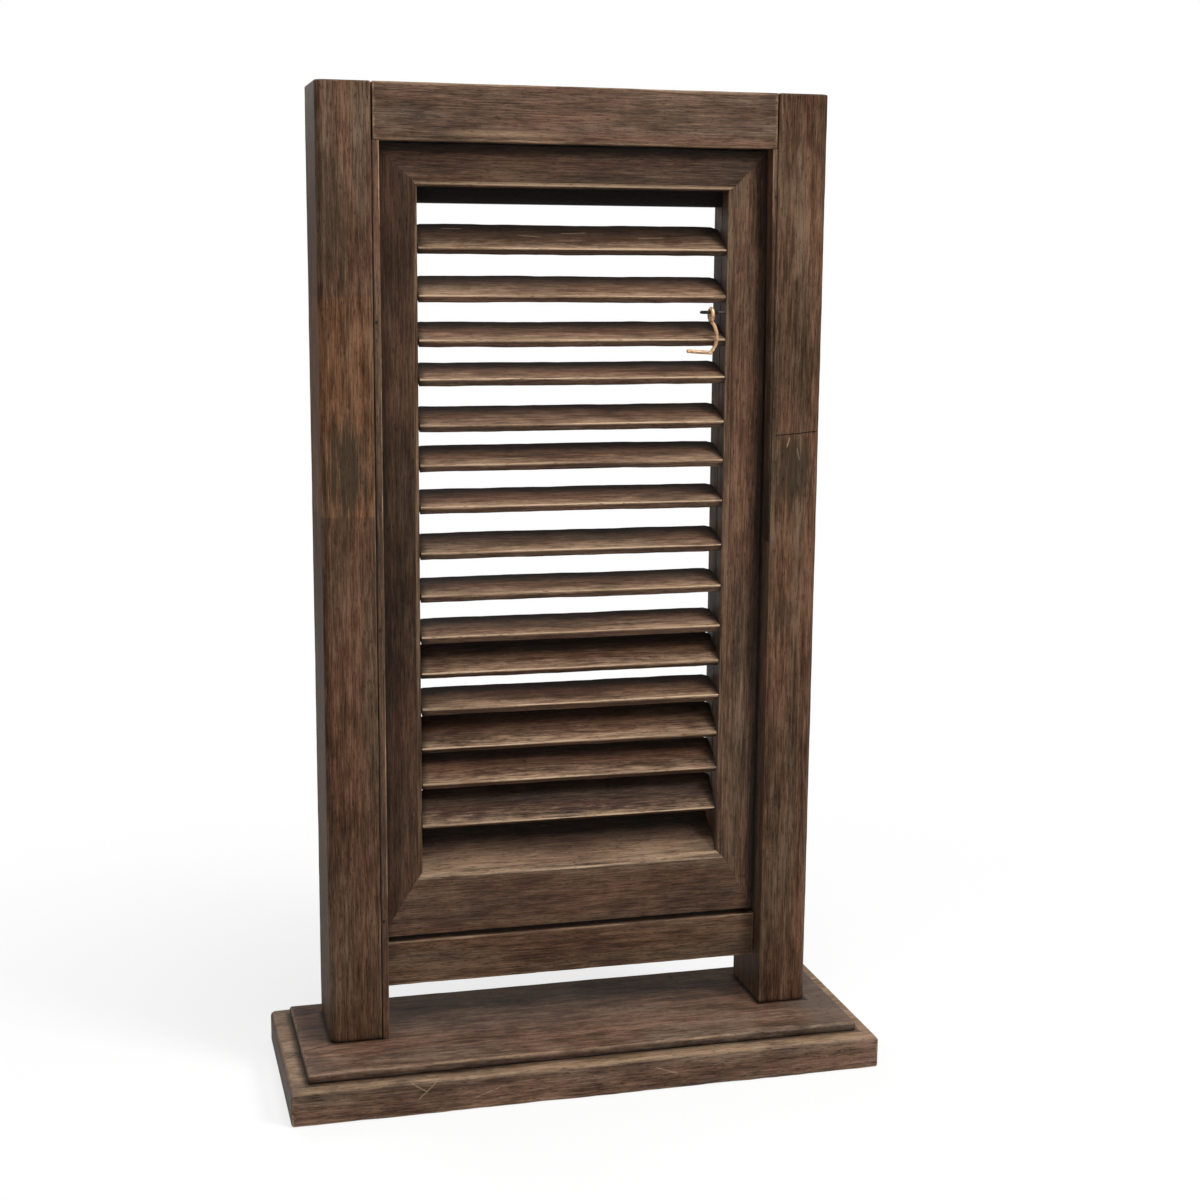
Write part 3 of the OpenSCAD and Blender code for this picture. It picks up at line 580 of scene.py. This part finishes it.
SHOULDER_GAP, TENON_T, TENON_SHOULDER = 1.2 * MM, 16 * MM, 9 * MM
rail_tints = {"top_rail": (1.10, 1.16, 1.22), "bottom_rail": (1.02, 1.02, 0.98)}
for number, (name, tint) in enumerate(rail_tints.items()):
    low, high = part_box(name)
    start, end = posts["left"][1].x + SHOULDER_GAP, posts["right"][0].x - SHOULDER_GAP
    square = [(low.y, low.z), (high.y, low.z), (high.y, high.z), (low.y, high.z)]
    middle, half = (low.y + high.y) / 2, TENON_T / 2
    core = [(middle - half, low.z + TENON_SHOULDER), (middle + half, low.z + TENON_SHOULDER),
            (middle + half, high.z - TENON_SHOULDER), (middle - half, high.z - TENON_SHOULDER)]
    rail = Stain(name + "_stain", Vector((start, low.y, low.z)), Vector((end, high.y, high.z)), "x",
                 seed=17.0 + 6.1 * number)
    colour = rail.rub(rail.coat(tint), rail.arris(), 2.4, 0.8)
    if name == "top_rail":
        rubbed = rail.front_face(low) * 0.5
        colour = rail.smudge(colour, rail.at_x, rail.at_z, (-66, 921), (62, 3.5), rubbed, rail.bare)
        colour = rail.smudge(colour, rail.at_x, rail.at_z, (70, 938), (60, 9), 0.35)
    rings = worn_board(square, 0, start, end, 1.0 * MM, 1.3 * MM, 31 + number, 0.35 * MM)
    tenons = worn_board(core, 0, low.x, high.x, 0.8 * MM, 0.8 * MM, 41 + number, 0.1 * MM)
    made += stand_in(name, [rings, tenons], rail.finish(colour))
print("post and rail faces:", made)

# %% [markdown]
# ## Beads and leaf
# The stop beads and the leaf's four mitred members keep their exact solids, with bores, mitres
# and bevels, and their edges are softened in the shader. A dark line marks the joint of each
# bead with its post, and its free edge is rubbed. The leaf sits back in the frame, and painted
# shade darkens its outer border and, in patches, the stiles' inner faces; the hinge stile and top
# member take darker tints that paint the shade they sit in. Its bevelled inner edge is worn pale,
# with a painted highlight along the arris of the top and bottom members, and painted shade makes
# the rear lip under its top rail nearly black and the sloping top of its bottom member dark towards the back.

# %% Beads and leaf
SOFT_EDGE = 1.0 * MM
for number, (name, sign) in enumerate((("bead_left", 1), ("bead_right", -1))):
    bead = Stain(name + "_stain", *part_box(name), "z", seed=27.0 + 3.0 * number)
    from_post, from_free_side = bead.half.x + bead.x * sign, bead.half.x - bead.x * sign
    colour = bead.rub(bead.coat(grey(0.95)), bead.arris(), 1.0, 0.3)
    colour = bead.rub(colour, from_free_side.most(bead.half.y + bead.y), 1.6, 0.9)
    colour = bead.pool(colour, from_post, 2.4, 0.95)
    put_on(bead.finish(colour, SOFT_EDGE), name)

# the hinge stile's and top member's darker tints paint the shade they sit in
leaf_members = {"stile_hinge": ("z", (0.59, 0.52, 0.47)), "stile_lock": ("z", grey(1.08)),
                "sash_top": ("x", grey(0.84)), "sash_bottom": ("x", grey(1.06))}
leaf_boxes = [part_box(name) for name in leaf_members]
leaf_low = np.min([box[0] for box in leaf_boxes], axis=0)
leaf_high = np.max([box[1] for box in leaf_boxes], axis=0)
leaf_left, leaf_front = (float(v) for v in leaf_low[:2])
leaf_right, leaf_back, leaf_top = (float(v) for v in leaf_high)
opening_left, opening_right = float(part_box("stile_hinge")[1].x), float(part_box("stile_lock")[0].x)
BEVEL, LIP_START, OPENING_TOP, OPENING_FOOT = 5.5 * MM, 3.3 * MM, 873 * MM, 206 * MM
WORN_BEVELS = {"stile_hinge": 0.45, "stile_lock": 0.45, "sash_top": 0.95, "sash_bottom": 0.85}
for number, (name, (grain, tint)) in enumerate(leaf_members.items()):
    member = Stain(name + "_stain", *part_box(name), grain, seed=2.9 * number + 71.0)
    bench = member.bench
    colour = member.coat(tint)
    behind = member.at_y - leaf_front
    on_front = behind.step(6 * MM, 1 * MM) * 0.6 + 0.2
    # painted shade along the leaf's outer border, most on its front, where the frame shades it
    border = (member.at_x - leaf_left).least(leaf_right - member.at_x).least(leaf_top - member.at_z)
    colour = member.pool(colour, border, 16, on_front)
    far_edge = LIP_START if name == "sash_top" else BEVEL
    on_bevel = behind.step(0.3 * MM, 1.0 * MM) * behind.step(far_edge + 1.0 * MM, far_edge)
    colour = bench.mix(on_bevel * member.streak.step(0.34, 0.58) * WORN_BEVELS[name], colour, member.bare)
    if name == "sash_top":
        # painted highlight along the top member's inner arris
        line = behind.step(far_edge - 1.6 * MM, far_edge - 0.6 * MM)
        line = line * behind.step(far_edge + 0.8 * MM, far_edge)
        line = line * (member.at_z - OPENING_TOP).step(12 * MM, 8 * MM) * member.streak.step(0.30, 0.55)
        colour = bench.mix(line * 0.85, colour, EDGE_HIGHLIGHT)
    elif name == "sash_bottom":
        # painted highlight along the bottom member's arris
        line = abs(member.at_z - (OPENING_FOOT - BEVEL)).step(1.3 * MM, 0.5 * MM)
        line = line * behind.step(1.5 * MM, 0.5 * MM)
        colour = bench.mix(line * member.streak.step(0.34, 0.58) * 0.7, colour, EDGE_HIGHLIGHT)
    if grain == "x":
        inside = (OPENING_TOP - member.at_z).least(member.at_z - OPENING_FOOT)
    else:
        inside = (member.at_x - opening_left).least(opening_right - member.at_x)
    inside = inside.step(-1 * MM, -0.2 * MM) * (leaf_back - member.at_y).step(0.3 * MM, 1.2 * MM)
    if name == "sash_top":
        # painted shade: the rear lip under the top member nearly black
        lip = behind.step(far_edge + 1 * MM, far_edge + 4 * MM) * inside
        colour = bench.mix(lip * 0.97, colour, SHADE_CRACK_AND_JOINT)
    elif name == "sash_bottom":
        # painted shade over the sloping top of the bottom member, darker towards the back; its front is rubbed
        # pale
        slope = (behind + (member.streak - 0.5) * (16 * MM)).step(BEVEL + 1 * MM, 40 * MM)
        rubbed = (1.0 - slope) * behind.step(BEVEL, BEVEL + 1.5 * MM) * member.patch.step(0.30, 0.62)
        colour = bench.mix(rubbed * inside * 0.50, colour, member.bare)
        colour = bench.mix(slope * inside * 0.8, colour, SHADE_CRACK_AND_JOINT)
    else:
        # painted shade on the stiles' inner faces, in patches
        shaded = (member.patch + member.mottle * 0.5).step(0.95, 0.60)
        shaded = behind.step(BEVEL + 1 * MM, BEVEL + 6 * MM) * shaded * inside
        colour = bench.mix(shaded * 0.7, colour, SHADE_CRACK_AND_JOINT)
    put_on(member.finish(colour, SOFT_EDGE), name)

dowels = Stain("corner_dowels_wood", *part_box("corner_dowels"), "x", seed=9.0)
put_on(dowels.finish(dowels.coat(grey(2.4))), "corner_dowels")
print("leaf box in metres:", np.round(leaf_low, 4), np.round(leaf_high, 4))

# %% [markdown]
# ## The slats
# Thin flat slats, each on a turned pin at either end and each at its own angle, which its
# joint's upper limit gives: the closed angle less the travel that is left. Dusting rubs a slat
# pale towards its top front edge, along which runs a painted highlight; painted shade darkens
# its rear half, its ends, its front face and the front of its underside. A slat is a board
# carried along X, slightly bowed, then turned by its tilt.

# %% Slats
SLAT_W, SLAT_T, END_GAP, PIN_SEAT, PIN_R = 41 * MM, 8 * MM, 1 * MM, 8 * MM, 2.96 * MM
CLIP_L, CLIP_W, PIN_ROOT, PIN_NOSE = 2 * MM, 5 * MM, 6 * MM, 0.4 * MM
CLOSED_DEG = 58.0
DARK_SLAT, FADED_SLAT, BROWN_SLAT = grey(0.78), (1.58, 1.60, 1.64), (1.14, 1.08, 1.04)
FADED_SLATS, LAST_SLAT = 10, 14
# Marks on the first slat in mm, from its middle
SLAT_SCRATCHES = (((-126, 12), (-106, 11)), ((-54, 2), (-30, -1)), ((-10, 6), (16, 7)), ((66, -2), (92, -1)))


def slat_section(half):
    """The slat's rectangle, with its rear corners drawn forward over the last CLIP_L."""
    def section(places):
        near_end = np.minimum(places, 2 * half - places)
        rear = SLAT_W / 2 - CLIP_W * np.clip(1 - near_end / CLIP_L, 0, 1)
        front, top = -SLAT_W / 2 + 0 * rear, SLAT_T / 2 + 0 * rear
        return np.stack([np.stack([front, rear, rear, front], 1), np.stack([-top, -top, top, top], 1)], 2)
    return section


def pin(start, end):
    """A turned pin along X: rings of a circle, drawn in at the two ends."""
    angle = np.linspace(0, 2 * np.pi, 20, endpoint=False)
    x = np.array([start, start + PIN_NOSE, end - PIN_NOSE, end])[:, None]
    radius = PIN_R * np.array([0.86, 1.0, 1.0, 0.86])[:, None]
    return np.stack([x + 0 * angle, radius * np.cos(angle), radius * np.sin(angle)], axis=2)


def slat_tint(number):
    """The upper slats are faded, the lower ones brown, the first and the last dark."""
    if number in (0, LAST_SLAT):
        return DARK_SLAT
    return FADED_SLAT if number < FADED_SLATS else BROWN_SLAT


slat_names = sorted(name for name in nodes if name.startswith("slat_"))
joint_of = {joint["child"]: joint for joint in frame["joints"]}
made = 0
for number, name in enumerate(slat_names):
    joint = joint_of[name]
    tilt = math.radians(CLOSED_DEG - joint["range_deg"][1])
    low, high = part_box(name)
    pivot, half = Vector(joint["pos_m"]), (high.x - low.x) / 2 - PIN_SEAT - END_GAP

    slat = Stain(name + "_stain", pivot - Vector((half, SLAT_W / 2, SLAT_T / 2)),
                 pivot + Vector((half, SLAT_W / 2, SLAT_T / 2)), "x", seed=5.3 * number + 40.0, tilt=tilt)
    bench = slat.bench
    colour = slat.coat(slat_tint(number))
    # painted shade over the rear half of the top, where the slat above shades it
    rear = (slat.y + (slat.streak - 0.5) * (16 * MM)).step(-4 * MM, 17 * MM)
    colour = bench.mix(rear * 0.78, colour, SHADE_CRACK_AND_JOINT)
    on_top = slat.z.step(1.6 * MM, 3.2 * MM)
    forward_part = slat.y * -1.0 + (slat.patch - 0.5) * (20 * MM) + (slat.mottle - 0.5) * (26 * MM)
    forward_part = forward_part + (slat.fibre - 0.5) * (34 * MM)
    colour = bench.mix(forward_part.step(5 * MM, 25 * MM) * on_top * 0.75, colour, slat.bare)
    # painted shade on the front face and the front of the underside
    below = (1.0 - on_top) * (slat.y * -1.0).step(16 * MM, 19 * MM)
    colour = bench.mix(below * 0.6, colour, DARK_STAIN_AND_SHADE)
    # painted shade at the slat's ends, beside the stiles
    colour = slat.pool(colour, slat.gaps[0], 9, 0.75)
    front_arris = (slat.half.y + slat.y).most(slat.half.z - slat.z)
    colour = slat.rub(colour, front_arris, 2.6, 1.0)
    # painted highlight along the front top arris
    bright = front_arris.step(1.5 * MM, 0.8 * MM) * slat.streak.step(0.36, 0.56)
    colour = bench.mix(bright * 0.8, colour, EDGE_HIGHLIGHT)
    if number == 0:
        for start, end in SLAT_SCRATCHES:
            colour = slat.scratch(colour, slat.x, slat.y, start, end, 0.8, 0.4)

    rings = worn_board(slat_section(half), 0, -half, half, 0.4 * MM, 1.2 * MM, 60 + 3 * number,
                       0.25 * MM, 6 * MM)
    rings[..., 2] += (wander(rings[:, 0, 0] + half, 61 + 3 * number, 1, 330 * MM) - 0.5) * (1.0 * MM)
    pin_end = half + END_GAP + PIN_SEAT
    shells = [rings, pin(-pin_end, PIN_ROOT - half), pin(half - PIN_ROOT, pin_end)]
    turn = np.array(Matrix.Rotation(tilt, 3, "X"))
    made += stand_in(name, [shell @ turn.T + np.array(pivot) for shell in shells], slat.finish(colour))
print("slats:", len(slat_names), "faces:", made)

# %% [markdown]
# ## Iron and brass
# The hinges, screws and brads are blackened iron; the hook is brass wire gone brown in the
# hollows and bright where it has been handled.

# %% Metals
IRON = (0.035, 0.033, 0.031)
IRON_RUST = (0.085, 0.048, 0.030)
BRASS = (0.66, 0.42, 0.24)
BRASS_BROWN = (0.26, 0.14, 0.07)


def black_iron():
    bench = Bench("black_iron")
    spots = bench.noise(bench.place(), 260.0, 5.0, 0.6)
    colour = bench.mix(spots.step(0.52, 0.68), IRON, IRON_RUST)
    return bench.finish(colour, 0.5 + (spots - 0.5) * 0.4, spots, 0.15 * MM, 0.85)


def aged_brass():
    bench = Bench("aged_brass")
    cloud = bench.noise(bench.place(), 120.0, 4.0, 0.6)
    colour = bench.mix(cloud.step(0.44, 0.62), BRASS, BRASS_BROWN)
    return bench.finish(colour, 0.3 + cloud * 0.25, cloud, 0.1 * MM, 0.6)


iron = black_iron()
iron_nodes = [n for n in nodes if n.startswith("hinge") or n in ("bead_nails", "base_screws", "screw_eye")]
put_on(iron, *iron_nodes)
put_on(aged_brass(), "hook")
print("iron nodes:", len(iron_nodes))

# %% [markdown]
# ## Floor and light
# The object stands on a white floor in a white surround. The floor's own shading keeps the
# contact shadow; the camera also sees a white glow mixed in, which takes over further out
# so that no horizon shows. One lamp from the upper right throws the short shadows
# inside the frame, one above lifts the tops of the slats and the base, and two weaker ones,
# from the left and from behind, open the shadows.

# %% Floor, world and lamps
FLOOR_SIDE, FLOOR_WHITE, SURROUND_LIGHT = 40.0, (0.90, 0.90, 0.895), 0.28
GLOW_NEAR, GLOW_MORE, GLOW_FROM, GLOW_TO = 0.72, 0.28, 0.35, 1.1
# Each lamp: place and target in metres, side in metres, power in watts
LAMPS = {"key": ((1.7, -1.8, 2.3), (0, 0, 0.45), 0.8, 62), "above": ((0.1, -0.7, 2.6), (0, 0, 0.3), 1.0, 28),
         "fill": ((-2.0, -1.9, 1.7), (0, 0, 0.5), 1.6, 12), "rear": ((-1.0, 2.2, 1.9), (0, 0, 0.5), 1.6, 24)}


def flat_sheet(name, side):
    """A square in the floor plane: the four corners of side / 2 each way."""
    mesh = bpy.data.meshes.new(name)
    corners = np.array([[-1, -1, 0], [1, -1, 0], [1, 1, 0], [-1, 1, 0]]) * side / 2
    mesh.from_pydata(corners.tolist(), [], [(0, 1, 2, 3)])
    sheet = bpy.data.objects.new(name, mesh)
    bpy.context.scene.collection.objects.link(sheet)
    return sheet


def seen_directly(bench):
    """1 for camera and see-through rays, 0 for the rays that carry light about."""
    rays = [bench.add("ShaderNodeLightPath", output=f"Is {kind} Ray") for kind in ("Camera", "Transmission")]
    return rays[0].most(rays[1])


floor = flat_sheet("floor", FLOOR_SIDE)
floor_bench = Bench("floor_white")
floor_bench.finish(FLOOR_WHITE, 0.95)
floor_bench.shader.inputs["Specular IOR Level"].default_value = 0.0
away = floor_bench.add("ShaderNodeVectorMath", {"operation": "LENGTH"}, {0: floor_bench.place()}, "Value")
glow = floor_bench.add("ShaderNodeEmission", {}, {"Color": (1.0, 1.0, 1.0), "Strength": 1.0})
whiten = seen_directly(floor_bench) * (away.step(GLOW_FROM, GLOW_TO) * GLOW_MORE + GLOW_NEAR)
sockets = {0: whiten, 1: Wire(floor_bench, floor_bench.shader.outputs[0]), 2: glow}
both = floor_bench.add("ShaderNodeMixShader", {}, sockets)
floor_bench.feed(floor_bench.tree.nodes["Material Output"].inputs["Surface"], both)
floor.data.materials.append(floor_bench.material)
floor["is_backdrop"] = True

world = bpy.data.worlds.new("surround")
bpy.context.scene.world = world
world.use_nodes = True
sky = world.node_tree
background = sky.nodes["Background"]
path = sky.nodes.new("ShaderNodeLightPath")
seen = sky.nodes.new("ShaderNodeMath")
seen.operation = "MAXIMUM"
sky.links.new(path.outputs["Is Camera Ray"], seen.inputs[0])
sky.links.new(path.outputs["Is Transmission Ray"], seen.inputs[1])
strength = sky.nodes.new("ShaderNodeMapRange")
sky.links.new(seen.outputs[0], strength.inputs["Value"])
strength.inputs["To Min"].default_value = SURROUND_LIGHT
strength.inputs["To Max"].default_value = 1.0
sky.links.new(strength.outputs[0], background.inputs["Strength"])
background.inputs["Color"].default_value = (1, 1, 1, 1)


def soft_lamp(name, place, target, side, power):
    lamp = bpy.data.lights.new(name, "AREA")
    lamp.shape = "SQUARE"
    lamp.size = side
    lamp.energy = power
    holder = bpy.data.objects.new(name, lamp)
    holder.location = place
    holder.rotation_euler = (Vector(target) - Vector(place)).to_track_quat("-Z", "Y").to_euler()
    bpy.context.scene.collection.objects.link(holder)


for name, lamp_settings in LAMPS.items():
    soft_lamp(name, *lamp_settings)
print("lamps and floor ready:", len(LAMPS), "lamps")

# %% Size
low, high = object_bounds()
